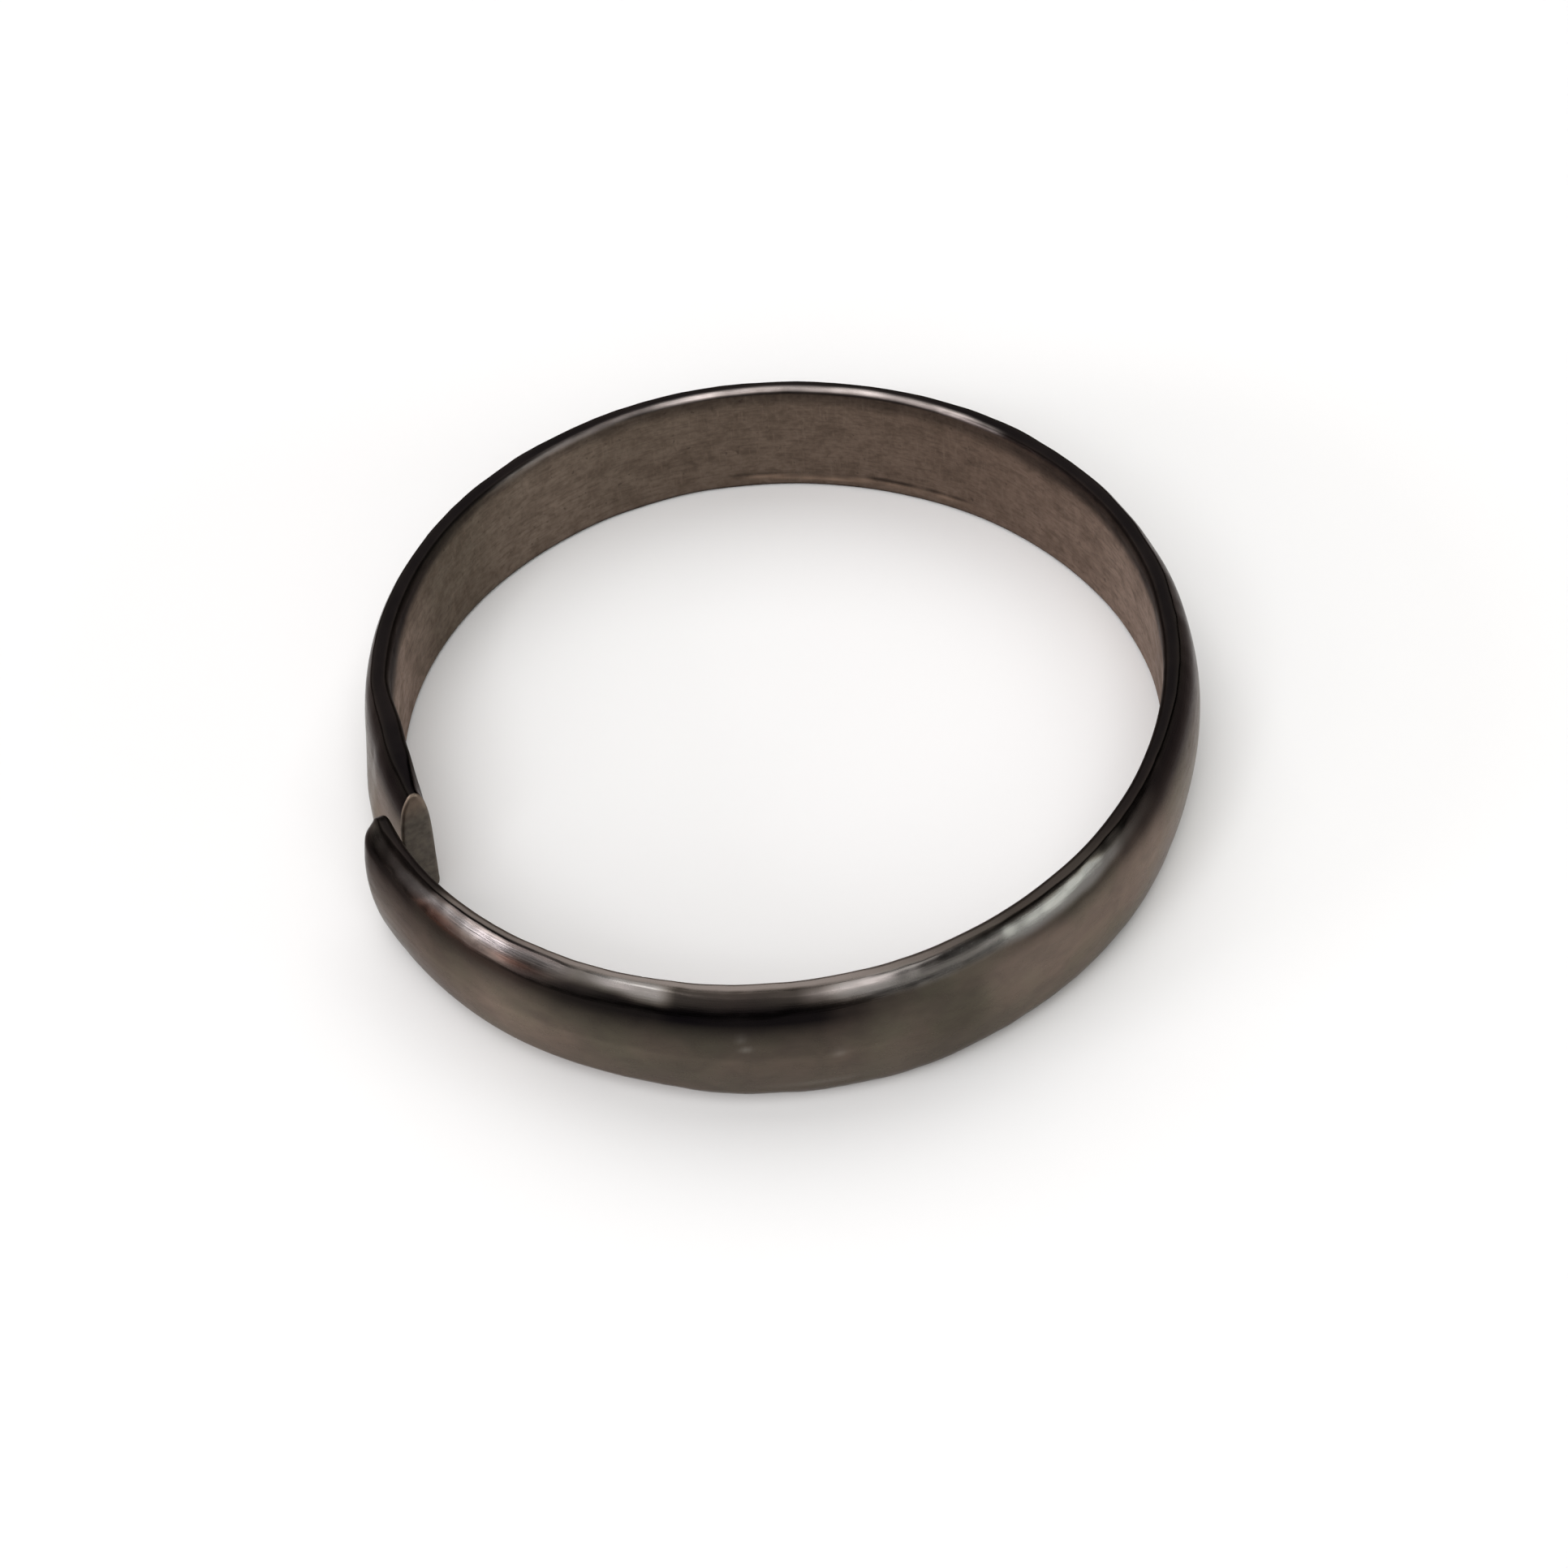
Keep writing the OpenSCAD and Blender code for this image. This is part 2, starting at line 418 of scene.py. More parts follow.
# Softboxes: azimuth, elevation, width, height, distance, radiance, colour
SOFTBOXES = {
    "overhead": (-105, 64, 1.5, 1.3, 1.6, 2.3, (1, 0.985, 0.98)),
    "overhead_back": (85, 60, 2.4, 1.5, 1.6, 1.6, (1, 0.985, 0.975)),
    "back_low": (90, 18, 2.2, 0.8, 2, 0.7, (1, 0.96, 0.94)),
    "high_left": (-134, 44, 0.42, 0.4, 2, 4.2, (0.95, 0.97, 1)),
    "front": (-104, 32, 3.2, 1.0, 2, 1.6, (1, 0.98, 0.97)),
    "left": (-165, 18, 0.62, 0.46, 2, 8.5, (0.97, 0.95, 1)),
    "left_far": (175, 16, 0.5, 0.4, 2, 0.5, (1, 0.93, 0.95)),
    "back_left": (143, 27, 1.3, 0.9, 2, 0.6, (1, 0.94, 0.92)),
    "left_red": (-174, 4, 0.4, 0.2, 2, 3.0, (1, 0.6, 0.5)),
    "front_left": (-150, 25, 0.56, 0.5, 2, 1.0, (1, 0.95, 1)),
    "front_right": (-51, 16, 0.7, 0.35, 2, 1.3, (1, 0.98, 0.95)),
    "right": (-23, 11, 0.95, 0.7, 2, 4.0, (0.93, 1, 0.97)),
}
# Colour of the dim room that the iron mirrors, and of the backdrop behind the floor
ROOM = (0.04, 0.036, 0.034)
BACKDROP = (0.8, 0.8, 0.79)


def smoothstep(low, high, value):
    t = np.clip((value - low) / (high - low), 0, 1)
    return t * t * (3 - 2 * t)


def near(value, middle, spread, power=2):
    """1 at the middle, and next to nothing at twice the spread."""
    return np.exp(-(np.abs((value - middle) / spread) ** power))


def stretch(value, start, end, rise, fall):
    """1 between start and end, with a soft rise after the start and a soft fall before the end."""
    return smoothstep(start, start + rise, value) * (1 - smoothstep(end - fall, end, value))


def smooth_noise(points, name):
    """Perlin noise from about -1 to 1 at each point."""
    frequency, seed = SHAPE_NOISES[name]
    shift = Vector([seed * step for step in SEED_STEP])
    return np.array([noise.noise(Vector(p) * frequency + shift) for p in points])


def arc_lengths():
    """Length of each arc along the strip's middle."""
    middle = STRIP_THICKNESS / 2
    return [math.radians(abs(sweep)) * (radius + middle) for _, radius, _, sweep in ARCS]


def bend_at(along):
    """The centre's y, the azimuth in radians and the bore radius, at distances from the back end."""
    lengths = arc_lengths()
    ends = np.cumsum(lengths)
    index = np.minimum(np.searchsorted(ends, along), len(ARCS) - 1)
    starts = ends - lengths
    table = np.array(ARCS)[index]
    share = (along - starts[index]) / np.array(lengths)[index]
    azimuth = np.radians(table[:, 2] + share * table[:, 3])
    return table[:, 0], azimuth, table[:, 1]


def shoulder():
    """Centre and radius of the shoulder arc: tangent to the crown, and through the rim's corner."""
    crown_centre = STRIP_THICKNESS - CROWN_RADIUS
    angle = math.asin(CROWN_HALF_WIDTH / CROWN_RADIUS)
    corner = (RIM_WIDTH - crown_centre, STRIP_WIDTH / 2)
    reach = corner[0] * math.cos(angle) + corner[1] * math.sin(angle)
    squared = corner[0] ** 2 + corner[1] ** 2
    shift = (CROWN_RADIUS**2 - squared) / (2 * (CROWN_RADIUS - reach))
    return crown_centre + shift * math.cos(angle), shift * math.sin(angle), CROWN_RADIUS - shift


def rim_corner(half_height):
    """Angle on the shoulder arc and depth of the rim's outer corner."""
    centre_depth, centre_height, radius = shoulder()
    angle = np.arcsin((half_height - centre_height) / radius)
    return angle, centre_depth + radius * np.cos(angle)


def half_section(half_height, edge_depth, edge_height, crease_round, shift):
    """Depth from the bore wall and height above the mid plane, from the bore's middle up over the rim and
    down to the crown. Each argument is a column with one value for each ring; shift moves the rim's outer
    corner outwards."""
    centre_depth, centre_height, radius = shoulder()
    corner_angle, corner_depth = rim_corner(half_height)
    corner_depth = corner_depth + shift
    flat_end = corner_depth - crease_round
    edge_depth = np.minimum(edge_depth, flat_end - LEAST_FLAT)
    below = corner_angle - crease_round / radius
    crown_angle = math.asin(CROWN_HALF_WIDTH / CROWN_RADIUS)
    ones = np.ones_like(half_height)

    def steps(count):
        return np.linspace(0, 1, count, endpoint=False)[None, :]

    bore = (0 * ones * steps(BORE_POINTS), (half_height - edge_height) * steps(BORE_POINTS))
    turn = steps(EDGE_POINTS) * math.pi / 2
    inner = (edge_depth * (1 - np.cos(turn)), half_height - edge_height * (1 - np.sin(turn)))
    rim = (
        edge_depth + (flat_end - edge_depth) * steps(RIM_POINTS),
        half_height * np.ones((1, RIM_POINTS)),
    )
    t = steps(CORNER_POINTS)
    after = (centre_depth + radius * np.cos(below) + shift, centre_height + radius * np.sin(below))
    crease = (
        (1 - t) ** 2 * flat_end + 2 * t * (1 - t) * corner_depth + t**2 * after[0],
        (1 - t) ** 2 * half_height + 2 * t * (1 - t) * half_height + t**2 * after[1],
    )
    share = steps(SHOULDER_POINTS)
    angle = below + (crown_angle - below) * share
    fade = 1 - share * share * (3 - 2 * share)
    roll = (
        centre_depth + radius * np.cos(angle) + shift * fade,
        centre_height + radius * np.sin(angle),
    )
    angle = crown_angle * (1 - steps(CROWN_POINTS)) * ones
    crown_centre = STRIP_THICKNESS - CROWN_RADIUS
    crown = (crown_centre + CROWN_RADIUS * np.cos(angle), CROWN_RADIUS * np.sin(angle))
    top = (STRIP_THICKNESS * ones, 0 * ones)
    parts = [bore, inner, rim, crease, roll, crown, top]
    return np.hstack([part[0] for part in parts]), np.hstack([part[1] for part in parts])


def whole_section(upper, lower):
    """The closed section: the upper half and the lower one mirrored, without their two shared points."""
    depth, height = half_section(*upper)
    low_depth, low_height = half_section(*lower)
    return (
        np.hstack([depth, low_depth[:, -2:0:-1]]),
        np.hstack([height, -low_height[:, -2:0:-1]]),
    )


def ring_table():
    """Distance along the strip and shrink towards the section's middle, for each ring of the mesh."""
    length = sum(arc_lengths()) + FRONT_REACH
    body = np.linspace(CUT_ROUND, length - CUT_ROUND, RINGS)
    turn = np.linspace(0, math.pi / 2, EDGE_RINGS + 1)[1:]
    worn = CUT_ROUND * (1 - np.sin(turn))
    shrink = CUT_ROUND * (1 - np.cos(turn)) / (STRIP_THICKNESS / 2)
    inner = np.linspace(shrink[-1], FACE_SHRINK, FACE_RINGS + 1)[1:]
    back = np.concatenate([np.zeros(FACE_RINGS), worn[::-1]])
    front = length - back[::-1]
    cap_shrink = np.concatenate([inner[::-1], shrink[::-1]])
    along = np.concatenate([back, body, front])
    return along, np.concatenate([cap_shrink, np.zeros(RINGS), cap_shrink[::-1]])


def tip_drop(distance, radius):
    """How much lower the rim is at a distance from the end, where the tip's corners are rounded."""
    inside = np.clip(radius - distance, 0, radius)
    return radius - np.sqrt(radius**2 - inside**2)


def by_azimuth(table, azimuth):
    """The columns of a table at each azimuth, with a smooth step from one row to the next."""
    table = np.array(table)
    knots = table[:, 0]
    index = np.clip(np.searchsorted(knots, azimuth) - 1, 0, len(knots) - 2)
    share = smoothstep(knots[index], knots[index + 1], azimuth)[:, None]
    return (table[index, 1:] * (1 - share) + table[index + 1, 1:] * share).T


def strip_shape():
    """All points of the mesh, ring by ring, with along, height, depth and azimuth of each."""
    along, shrink = ring_table()
    length = along[-1]
    centre_y, azimuth, radius = bend_at(along)
    middle = radius + STRIP_THICKNESS / 2
    x, y = middle * np.cos(azimuth), centre_y + middle * np.sin(azimuth)
    towards_wide = x * math.cos(WIDE_SIDE) + y * math.sin(WIDE_SIDE)
    half_height = STRIP_WIDTH / 2 + towards_wide * math.tan(TILT)
    half_height -= tip_drop(along, BACK_TIP_ROUND)
    half_height -= tip_drop(length - along, FRONT_TIP_ROUND)
    line = np.stack([x, y, np.zeros_like(x)], axis=1)
    at_front = np.maximum(0, -np.sin(azimuth)) ** 2
    back_end = 1 - smoothstep(*BACK_END_FADE, along)
    bore_out, outer_out, corner_out, top_in, bottom_out = by_azimuth(UNEVEN, np.degrees(azimuth))
    edge_wave = EDGE_WAVE * smooth_noise(line, "edge")
    edge_depth = EDGE_DEPTH + EDGE_DEPTH_FRONT * at_front + edge_wave
    edge_height = EDGE_HEIGHT + EDGE_HEIGHT_FRONT * at_front + edge_wave
    crease_round = CREASE_ROUND + CREASE_ROUND_FRONT * at_front**4
    corner_wave = smooth_noise(line, "corner") + FINE_CREASE_WAVE * smooth_noise(line, "fine_corner")
    shift = corner_out + CREASE_WAVE * corner_wave
    upper_edge = [edge_depth + EDGE_DEPTH_BACK * back_end, edge_height + EDGE_HEIGHT_BACK * back_end]
    depth, height = whole_section(
        [column[:, None] for column in (half_height, *upper_edge, crease_round, shift)],
        [column[:, None] for column in (half_height, edge_depth, edge_height, crease_round, shift)],
    )
    keep = 1 - shrink[:, None]
    middle_depth = FACE_MIDDLE * STRIP_THICKNESS
    depth = middle_depth + (depth - middle_depth) * keep
    height = height * (1 - FACE_HEIGHT_SHRINK * shrink[:, None])
    across = smoothstep(0, STRIP_THICKNESS, depth)
    outer_out = outer_out - FRONT_NOSE_THINNING * tip_drop(length - along, FRONT_NOSE_ROUND)
    place = bore_out[:, None] * (1 - across) + outer_out[:, None] * across
    place -= top_in[:, None] * (0.5 + height / STRIP_WIDTH)
    place += bottom_out[:, None] * across * smoothstep(*BOTTOM_LEAN, -height)
    reach = radius[:, None] + depth + place
    points = np.stack(
        [
            reach * np.cos(azimuth)[:, None],
            centre_y[:, None] + reach * np.sin(azimuth)[:, None],
            height + STRIP_WIDTH / 2,
        ],
        axis=2,
    )
    spread = np.ones_like(depth)
    fields = {
        "along": along[:, None] * spread,
        "height": height,
        "depth": depth,
        "azimuth": np.degrees(azimuth)[:, None] * spread,
        "cut": (shrink[:, None] > 0) * spread,
        "half_height": half_height[:, None] * spread,
        "corner": (rim_corner(half_height)[1] + corner_out)[:, None] * spread,
        "back_end": back_end[:, None] * spread,
        "ragged": CORNER_RAGGED * smooth_noise(line, "ragged_corner")[:, None] * spread,
    }
    return points, fields


def lay_down(points):
    """Tilts the loop, so that its lower rim lies flat."""
    turn = (
        Matrix.Rotation(WIDE_SIDE, 3, "Z")
        @ Matrix.Rotation(-TILT, 3, "Y")
        @ Matrix.Rotation(-WIDE_SIDE, 3, "Z")
    )
    return points @ np.array(turn).T


def end_face(height):
    """Triangles across one ring, between its bore side and its crown side from the lower rim up. The two
    sides part at the outer end of each rim's flat, where the crown side takes the first step."""
    count = len(height)
    rim_end = BORE_POINTS + EDGE_POINTS + RIM_POINTS
    bore_side = [*range(count - rim_end, count), *range(rim_end + 1)]
    crown_side = list(range(count - rim_end, rim_end - 1, -1))
    triangles = []
    i, j = 0, 1
    while i < len(bore_side) - 1 or j < len(crown_side) - 1:
        crown_done = j == len(crown_side) - 1
        bore_done = i == len(bore_side) - 1
        if crown_done or (not bore_done and height[bore_side[i + 1]] <= height[crown_side[j + 1]]):
            triangle = (bore_side[i], bore_side[i + 1], crown_side[j])
            i += 1
        else:
            triangle = (bore_side[i], crown_side[j + 1], crown_side[j])
            j += 1
        if len(set(triangle)) == 3:
            triangles.append(triangle)
    return triangles


def ring_faces(heights):
    """Quads between neighbouring rings, and triangles on each end."""
    rings, count = heights.shape
    first = np.arange(rings - 1)[:, None] * count
    here = np.arange(count)[None, :]
    following = (here + 1) % count
    quads = np.stack(
        [first + here, first + count + here, first + count + following, first + following],
        axis=2,
    ).reshape(-1, 4)
    last = (rings - 1) * count
    end = [[last + index for index in reversed(triangle)] for triangle in end_face(heights[-1])]
    return quads.tolist() + end_face(heights[0]) + end


def new_mesh(name, points, faces):
    mesh = bpy.data.meshes.new(name)
    mesh.from_pydata(points.tolist(), [], faces)
    mesh.update()
    return mesh


def vertex_normals(mesh):
    normals = np.empty(len(mesh.vertices) * 3, np.float32)
    mesh.vertices.foreach_get("normal", normals)
    return normals.reshape(-1, 3)


def surface_relief(points, fields):
    """How far each point moves out along its normal: a hammered strip, with pits and a burr in the bore."""
    bore = 1 - smoothstep(*BORE_RELIEF_END, fields["depth"])
    outer = smoothstep(*OUTER_RELIEF_START, fields["depth"])
    relief = BEND_WAVE * outer * smooth_noise(points, "hammering")
    dents = smooth_noise(points, "dents")
    relief -= DENT_DEPTH * outer * smoothstep(*DENT_START, dents)
    pits = smooth_noise(points, "pits") + FINE_PITS * smooth_noise(points, "fine_pits")
    pitted = (bore + PITS_OUTSIDE * outer) * (1 - fields["back_end"])
    relief -= PIT_DEPTH * pitted * smoothstep(*PIT_START, pits)
    middle, strength = scratched_lip(points, fields)
    from_edge = fields["half_height"] + fields["height"]
    relief += BURR_HEIGHT * bore * strength * near(from_edge, middle, BURR_SPREAD)
    relief += FACE_RELIEF * fields["cut"] * smooth_noise(points, "cut_faces")
    return relief * smoothstep(*RESTING, points[:, 2])


def add_vector(mesh, name, vectors):
    attribute = mesh.attributes.new(name, "FLOAT_VECTOR", "POINT")
    attribute.data.foreach_set("vector", np.asarray(vectors, np.float32).ravel())


def to_metres(points):
    return points * MM


def outer_side(fields):
    """1 past the rim's outer corner, and 0 on the rim and in the bore."""
    reach = by_azimuth(DARK_REFLECTION, fields["azimuth"])[1]
    past = fields["depth"] - fields["corner"] - reach + fields["ragged"]
    return smoothstep(-CORNER_SOFT, CORNER_SOFT, past)


def marks(fields, table):
    """Soft spots on the outer face, from 0 to 1."""
    total = np.zeros_like(fields["height"])
    for azimuth, height, azimuth_spread, height_spread, strength in table:
        across = near(fields["azimuth"], azimuth, azimuth_spread)
        total += strength * across * near(fields["height"], height, height_spread)
    return np.clip(total, 0, 1) * outer_side(fields)


def shoulder_and_band(points, fields, waver):
    """The painted dark reflection on the outer face, then how much of the shoulder is free of it."""
    _, _, on_shoulder, on_band, meeting, fade = by_azimuth(DARK_REFLECTION, fields["azimuth"])
    past_meeting = np.abs(fields["height"]) - meeting
    past_meeting += MEETING_WAVER * (waver + smooth_noise(points, "meeting"))
    along_top = smoothstep(-MEETING_SOFT, MEETING_SOFT, past_meeting)
    below = np.maximum(0, BAND_TOP + BAND_WAVER * waver - fields["height"])
    band = on_band * near(below, 0, fade, BAND_FALL)
    return band * (1 - along_top) + on_shoulder * along_top, along_top * (1 - on_shoulder)


def rim_and_bore(fields, waver, bore):
    """Painted dark reflection on the rim and on the bore wall under it."""
    azimuth, outside = fields["azimuth"], outer_side(fields)
    from_top = fields["half_height"] - np.abs(fields["height"])
    on_the_wall = (1 - smoothstep(*WALL_DEPTH, fields["depth"])) * smoothstep(*WALL_DROP, from_top)
    rim = by_azimuth(DARK_REFLECTION, azimuth)[0] * (1 - outside) * (1 - on_the_wall)
    # Painted dark reflection under the bore's upper edge, and in the bore at the back end
    _, lip_dark, lip_down = by_azimuth(BORE_PAINTED_LIGHT_AND_SHADE, azimuth)
    lip = lip_dark * bore
    lip *= 1 - smoothstep(LIP_PLATEAU * lip_down, lip_down, from_top + LIP_WAVER * waver)
    end_dark = END_DARK * smoothstep(*END_DARK_AZIMUTHS, azimuth) * (1 - outside)
    end_dark *= 1 - smoothstep(*END_DARK_DROP, from_top)
    upper = np.maximum(np.maximum(rim, lip), end_dark)
    return np.where(fields["height"] > 0, upper, LOWER_RIM * rim)


def dark_kept_on_edges(fields):
    """How much of the painted dark reflection is kept on the rim's two edges, which shows them lighter."""
    from_top = fields["half_height"] - np.abs(fields["height"])
    past_corner = fields["depth"] - fields["corner"]
    corner = near(past_corner, CORNER_THINNING_MIDDLE, CORNER_THINNING_SPREAD)
    edge = 1 - smoothstep(*EDGE_THINNING_DEPTH, fields["depth"])
    edge *= 1 - smoothstep(*EDGE_THINNING_DROP, from_top)
    return 1 - CORNER_THINNING * corner - EDGE_THINNING * edge


def finish_and_light_masks(points, fields):
    """Painted highlights, painted dark reflection and the bore, then the shoulder's own metal, rust, and
    pale marks with painted light low on the face, then cut faces, the rim's own metal and the crown's
    painted light and shade. All but the last are from 0 to 1."""
    depth, azimuth, outside = fields["depth"], fields["azimuth"], outer_side(fields)
    upper = fields["height"] > 0
    from_top = fields["half_height"] - np.abs(fields["height"])
    waver = smooth_noise(points, "waver")
    bore = 1 - smoothstep(*BORE_FINISH_END, depth)
    # The painted highlight line along the far rim's inner edge
    worn, highlight_middle = by_azimuth(HIGHLIGHT_LINE, azimuth)
    highlight_line = upper * worn * near(depth - HIGHLIGHT_LINE_LEAN * from_top, highlight_middle, HIGHLIGHT_LINE_SPREAD, HIGHLIGHT_LINE_FALL)
    outer, shoulder_bare = shoulder_and_band(points, fields, waver)
    inner = rim_and_bore(fields, waver, bore) * (1 - np.clip(highlight_line, 0, 1))
    # Painted dark reflection on the outer face, the rim and the upper bore, none on the cut faces
    dark_reflection = (outer * outside * upper + inner) * (1 - fields["cut"]) * dark_kept_on_edges(fields)
    # A painted dark reflection along the rim's outer corner at the front left
    corner_dark = CORNER_DARK_STRENGTH * upper * near(depth - fields["corner"], CORNER_DARK_MIDDLE, CORNER_DARK_SPREAD)
    corner_dark *= stretch(azimuth, CORNER_DARK_START, CORNER_DARK_END, CORNER_DARK_RISE, CORNER_DARK_FALL)
    dark_reflection = np.maximum(dark_reflection, corner_dark)
    # Painted highlights: the far rim's line and the spots on the shoulder
    painted_light = highlight_line + marks(fields, PAINTED_HIGHLIGHTS)
    rust = marks(fields, RUST_MARKS) + LOW_RUST * outside * smoothstep(*LOW_RUST_DROP, -fields["height"])
    # Pale marks, and painted light low on the outer face
    pale = marks(fields, PALE_MARKS) + LOW_PAINTED_LIGHT * outside * smoothstep(*LOW_PAINTED_LIGHT_DROP, -fields["height"])
    rim_bare = upper * (1 - outside) * (1 - bore) * (1 - by_azimuth(DARK_REFLECTION, azimuth)[0])
    on_crown = 1 - smoothstep(*CROWN_PAINTED_LIGHT_END, fields["height"])
    # Painted reflection: the crown painted lighter or darker after each azimuth
    tone = 1 + (by_azimuth(CROWN_PAINTED_LIGHT, azimuth)[0] - 1) * on_crown
    return (
        np.stack([np.clip(painted_light, 0, 1), np.clip(dark_reflection, 0, 1), bore], axis=1),
        np.stack([outside * upper * shoulder_bare, rust, pale], axis=1),
        np.stack([fields["cut"], rim_bare, tone], axis=1),
    )


def scratched_lip(points, fields):
    """Height in the bore of a scratched lip near its lower edge, and its strength along the strip."""
    middle = LIP_HEIGHT + LIP_WANDER * smooth_noise(points, "lip")
    return middle, stretch(fields["azimuth"], LIP_START, LIP_END, LIP_SOFT, LIP_SOFT)


def bore_marks(points, fields):
    """The lip's light crest and the dark line above it, then the bore's painted light and shade."""
    middle, strength = scratched_lip(points, fields)
    from_edge = fields["half_height"] + fields["height"]
    whole = LIP_WHOLE + LIP_BROKEN * smooth_noise(points, "broken_lip")
    crest = CREST_LIGHT * strength * whole * near(from_edge, middle, LIP_SPREAD)
    line = LINE_DARK * strength * (LINE_GONE - whole) * near(from_edge, middle + LINE_ABOVE, LINE_SPREAD)
    crest += CUT_TOP * fields["cut"] * smoothstep(*CUT_TOP_HEIGHTS, fields["height"])
    # Painted light and shade: the bore lighter at some azimuths and lower down
    tone = by_azimuth(BORE_PAINTED_LIGHT_AND_SHADE, fields["azimuth"])[0]
    tone += BORE_PAINTED_SLOPE * (1 - 2 * fields["height"] / BORE_HEIGHT)
    return np.stack([np.clip(crest, 0, 1), np.clip(line, 0, 1), tone], axis=1)


def make_band():
    points, fields = strip_shape()
    faces = ring_faces(fields["height"])
    points = points.reshape(-1, 3)
    fields = {name: values.ravel() for name, values in fields.items()}
    points = lay_down(points)
    draft = new_mesh("draft", points, faces)
    points = points + vertex_normals(draft) * surface_relief(points, fields)[:, None]
    bpy.data.meshes.remove(draft)
    mesh = new_mesh("ring_band", to_metres(points), faces)
    add_vector(mesh, "strip", np.stack([fields["along"], fields["height"], fields["depth"]], axis=1))
    painted_light, patches, zones = finish_and_light_masks(points, fields)
    add_vector(mesh, "painted_light", painted_light)
    add_vector(mesh, "patches", patches)
    add_vector(mesh, "zones", zones)
    add_vector(mesh, "bore_marks", bore_marks(points, fields))
    mesh.polygons.foreach_set("use_smooth", np.ones(len(mesh.polygons), bool))
    band = bpy.data.objects.new("ring_band", mesh)
    bpy.context.scene.collection.objects.link(band)
    return band


class Graph:
    """Adds nodes to a material and joins them. An input is a value or another node's output."""

    def __init__(self, tree):
        self.tree = tree

    def add(self, kind, inputs=None, **settings):
        node = self.tree.nodes.new(kind)
        for name, value in settings.items():
            setattr(node, name, value)
        for key, value in (inputs or {}).items():
            if isinstance(value, bpy.types.NodeSocket):
                self.tree.links.new(value, node.inputs[key])
            else:
                node.inputs[key].default_value = value
        return node

    def math(self, operation, a, b):
        return self.add("ShaderNodeMath", {0: a, 1: b}, operation=operation).outputs[0]

    def scaled(self, vector, factors):
        node = self.add("ShaderNodeVectorMath", {0: vector, 1: factors}, operation="MULTIPLY")
        return node.outputs[0]

    def noise(self, vector, detail, distortion):
        inputs = {"Vector": vector, "Scale": 1, "Detail": detail, "Distortion": distortion}
        return self.add("ShaderNodeTexNoise", inputs).outputs["Fac"]

    def between(self, value, low, high, start=0, end=1):
        inputs = {"Value": value, "From Min": low, "From Max": high, "To Min": start, "To Max": end}
        return self.add("ShaderNodeMapRange", inputs).outputs[0]

    def mix(self, factor, a, b):
        return self.add("ShaderNodeMix", {0: factor, 6: a, 7: b}, data_type="RGBA").outputs[2]

    def times(self, tint, factor):
        node = self.add("ShaderNodeVectorMath", {0: tint, "Scale": factor}, operation="SCALE")
        return node.outputs[0]

    def mesh_data(self, name):
        """A vector that the mesh holds under this name, and its three parts."""
        vector = self.add("ShaderNodeAttribute", attribute_name=name).outputs["Vector"]
        return vector, self.add("ShaderNodeSeparateXYZ", {0: vector}).outputs

    def set_by(self, noises, values):
        """What one of the noises gives between two of its values."""
        name, *levels = values
        return self.between(noises[name], *levels)

    def stained(self, base, stains, noises):
        for name, start, full, strength, tint in stains:
            share = self.set_by(noises, (name, start, full, 0, strength))
            base = self.mix(share, base, colour(tint))
        return base


def colour(tint):
    return (*tint, 1)


def outer_colour(graph, noises, patches, rim_bare, crown_painted_light):
    shoulder_bare, rust, pale = patches
    base = graph.mix(graph.set_by(noises, OLIVE_SHARE), colour(OUTER_WARM), colour(OUTER_OLIVE))
    # The crown's painted reflection scales its colour
    base = graph.times(graph.stained(base, OUTER_STAINS, noises), crown_painted_light)
    base = graph.mix(graph.math("MULTIPLY", shoulder_bare, SHOULDER_SHOWN), base, colour(SHOULDER_METAL))
    base = graph.mix(graph.math("MULTIPLY", rim_bare, RIM_SHOWN), base, colour(RIM_METAL))
    base = graph.mix(rust, base, colour(RUST))
    # Pale marks, with painted light low on the outer face
    return graph.mix(pale, base, colour(PALE))


def inner_colour(graph, noises, along, inside, cut):
    """Colour of the bore and of the cut faces."""
    crest, line, tone = inside
    base = graph.mix(graph.between(along, *BORE_TURN), colour(BORE_LEFT), colour(BORE_RIGHT))
    # Painted light on the bore
    base = graph.mix(graph.math("MULTIPLY", tone, PAINTED_BORE_LIGHT_SHOWN), base, colour(PAINTED_BORE_LIGHT))
    base = graph.stained(base, BORE_STAINS, noises)
    face = graph.mix(graph.set_by(noises, CUT_DARK_SHARE), colour(CUT_LIGHT), colour(CUT_DARK))
    base = graph.mix(cut, base, face)
    base = graph.mix(crest, base, colour(LIP_CREST))
    return graph.mix(line, base, colour(LIP_LINE))


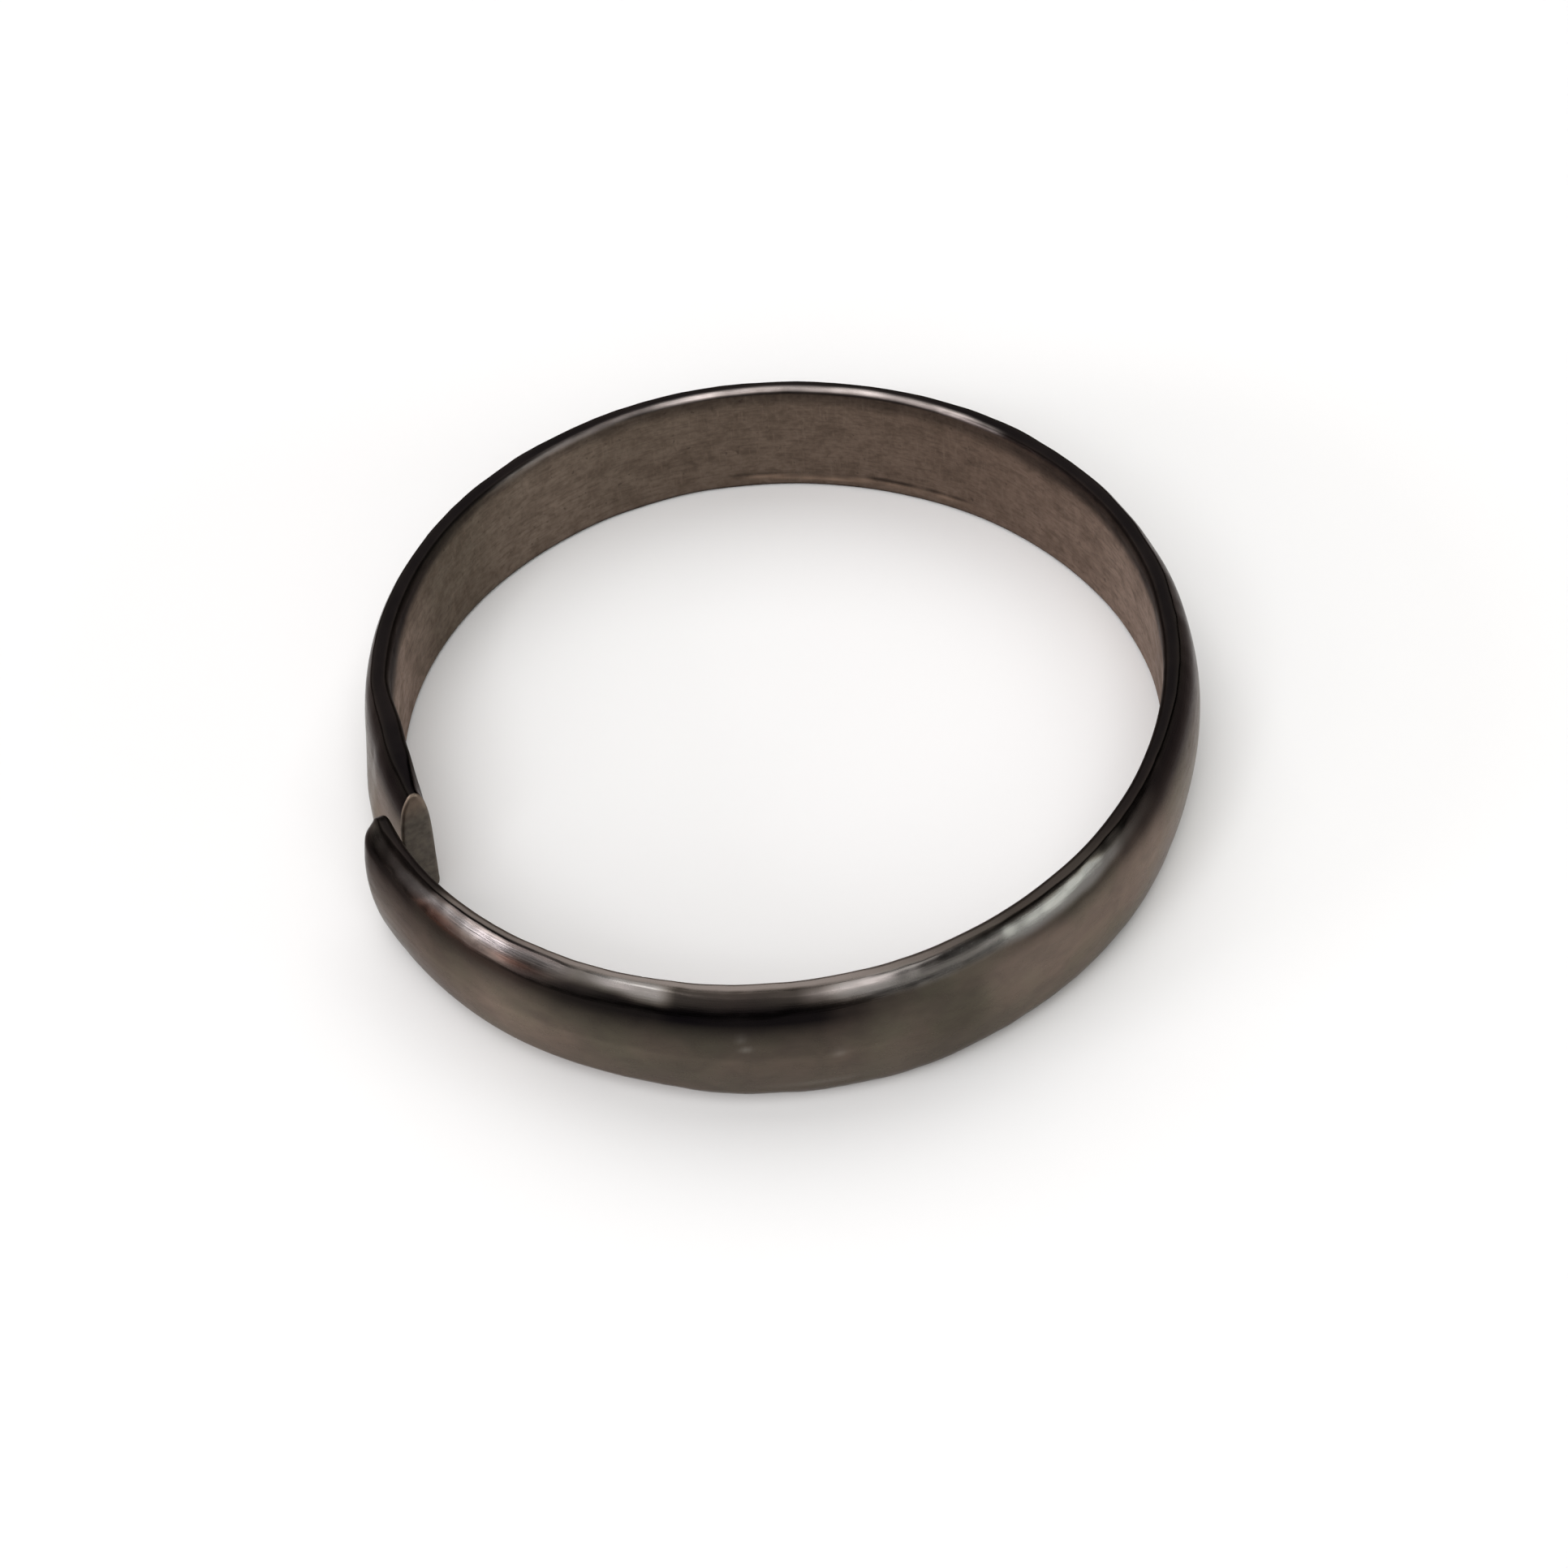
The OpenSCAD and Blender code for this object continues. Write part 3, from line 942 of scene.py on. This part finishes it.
def iron():
    """Dark hand-worked iron: satin outside, matte and pitted in the bore, with painted highlights, painted
    dark reflections and painted light and shade in its colour.
    """
    material = bpy.data.materials.new("dark_iron")
    material.use_nodes = True
    graph = Graph(material.node_tree)
    shader = material.node_tree.nodes["Principled BSDF"]
    strip, (along, _, _) = graph.mesh_data("strip")
    _, (painted_light, dark_reflection, bore) = graph.mesh_data("painted_light")
    _, inside = graph.mesh_data("bore_marks")
    _, patches = graph.mesh_data("patches")
    _, (cut, rim_bare, crown_painted_light) = graph.mesh_data("zones")
    noises = {
        name: graph.noise(graph.scaled(strip, waves), detail, distortion)
        for name, (waves, detail, distortion) in NOISES.items()
    }
    outer = outer_colour(graph, noises, patches, rim_bare, crown_painted_light)
    inner = inner_colour(graph, noises, along, inside, cut)
    matte = graph.math("MAXIMUM", bore, cut)
    base = graph.mix(matte, outer, inner)
    # Painted dark reflection: near black over the base colour
    dark = graph.math("MULTIPLY", dark_reflection, graph.set_by(noises, DARK_REFLECTION_SHARE))
    base = graph.mix(dark, base, colour(PAINTED_DARK))
    # Painted highlights in bright metal colour
    bright = graph.math("MULTIPLY", painted_light, graph.set_by(noises, HIGHLIGHT_SHARE))
    base = graph.mix(bright, base, colour(HIGHLIGHT_METAL))
    graph.tree.links.new(base, shader.inputs["Base Color"])

    satin_rough = graph.set_by(noises, SATIN_ROUGHNESS)
    matte_rough = graph.set_by(noises, MATTE_ROUGHNESS)
    rough = graph.add("ShaderNodeMix", {0: matte, 2: satin_rough, 3: matte_rough}).outputs[0]
    graph.tree.links.new(rough, shader.inputs["Roughness"])

    pitting = graph.math("MULTIPLY", graph.math("MULTIPLY", matte, noises["mottle"]), PITTING_RELIEF)
    inputs = {
        "Height": graph.math("ADD", graph.set_by(noises, STREAK_RELIEF), pitting),
        "Strength": BUMP_STRENGTH,
        "Distance": BUMP_DISTANCE * MM,
    }
    bump = graph.add("ShaderNodeBump", inputs)
    graph.tree.links.new(bump.outputs[0], shader.inputs["Normal"])
    shader.inputs["Metallic"].default_value = 1
    shader.inputs["Specular Tint"].default_value = colour(SPECULAR_TINT)
    return material


def pale_floor():
    material = bpy.data.materials.new("pale_floor")
    material.use_nodes = True
    shader = material.node_tree.nodes["Principled BSDF"]
    shader.inputs["Base Color"].default_value = colour(FLOOR_COLOUR)
    shader.inputs["Roughness"].default_value = FLOOR_ROUGHNESS
    shader.inputs["Specular IOR Level"].default_value = FLOOR_SPECULAR
    return material


def make_floor():
    half = FLOOR_SIZE / 2
    corners = [(-half, -half, 0), (half, -half, 0), (half, half, 0), (-half, half, 0)]
    mesh = bpy.data.meshes.new("floor")
    mesh.from_pydata(corners, [], [(0, 1, 2, 3)])
    floor = bpy.data.objects.new("floor", mesh)
    bpy.context.scene.collection.objects.link(floor)
    mesh.materials.append(pale_floor())
    return floor


def direction(azimuth, elevation):
    azimuth, elevation = math.radians(azimuth), math.radians(elevation)
    level = math.cos(elevation)
    return Vector((level * math.cos(azimuth), level * math.sin(azimuth), math.sin(elevation)))


def make_softbox(name, azimuth, elevation, width, height, distance, radiance, tint):
    light = bpy.data.lights.new(name, "AREA")
    light.shape = "RECTANGLE"
    light.size, light.size_y = width, height
    light.energy = radiance * math.pi * width * height
    light.color = tint
    lamp = bpy.data.objects.new(name, light)
    lamp.location = direction(azimuth, elevation) * distance
    lamp.rotation_euler = lamp.location.to_track_quat("Z", "Y").to_euler()
    bpy.context.scene.collection.objects.link(lamp)


def make_world():
    """A dim room for the reflections, and a pale backdrop past the floor's edge."""
    world = bpy.data.worlds.new("room")
    world.use_nodes = True
    graph = Graph(world.node_tree)
    background = world.node_tree.nodes["Background"]
    seen = graph.add("ShaderNodeLightPath").outputs["Is Camera Ray"]
    tint = graph.mix(seen, colour(ROOM), colour(BACKDROP))
    graph.tree.links.new(tint, background.inputs["Color"])
    bpy.context.scene.world = world


def make_camera():
    flat, lift = math.cos(CAMERA_ELEVATION), math.sin(CAMERA_ELEVATION)
    back = Vector((0, -flat, lift))
    right, up = Vector((1, 0, 0)), Vector((0, lift, flat))
    turn, tip = math.cos(CAMERA_ROLL), math.sin(CAMERA_ROLL)
    rolled_right, rolled_up = turn * right + tip * up, turn * up - tip * right
    axes = Matrix((rolled_right, rolled_up, back)).transposed()
    place = (Vector(CAMERA_TARGET) + CAMERA_DISTANCE * back) * MM
    data = bpy.data.cameras.new("camera")
    data.sensor_width = SENSOR
    data.lens = FOCAL_PIXELS / FRAME_PIXELS * SENSOR
    data.clip_start, data.clip_end = CAMERA_CLIP
    camera = bpy.data.objects.new("camera", data)
    camera.matrix_world = Matrix.Translation(place) @ axes.to_4x4()
    bpy.context.scene.collection.objects.link(camera)
    bpy.context.scene.camera = camera


def main():
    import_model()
    make_camera()
    band = make_band()
    band.data.materials.append(iron())
    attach(band, "root")
    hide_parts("band")
    make_floor()
    for name, values in SOFTBOXES.items():
        make_softbox(name, *values)
    make_world()
    bpy.context.scene.view_settings.view_transform = "Standard"


main()
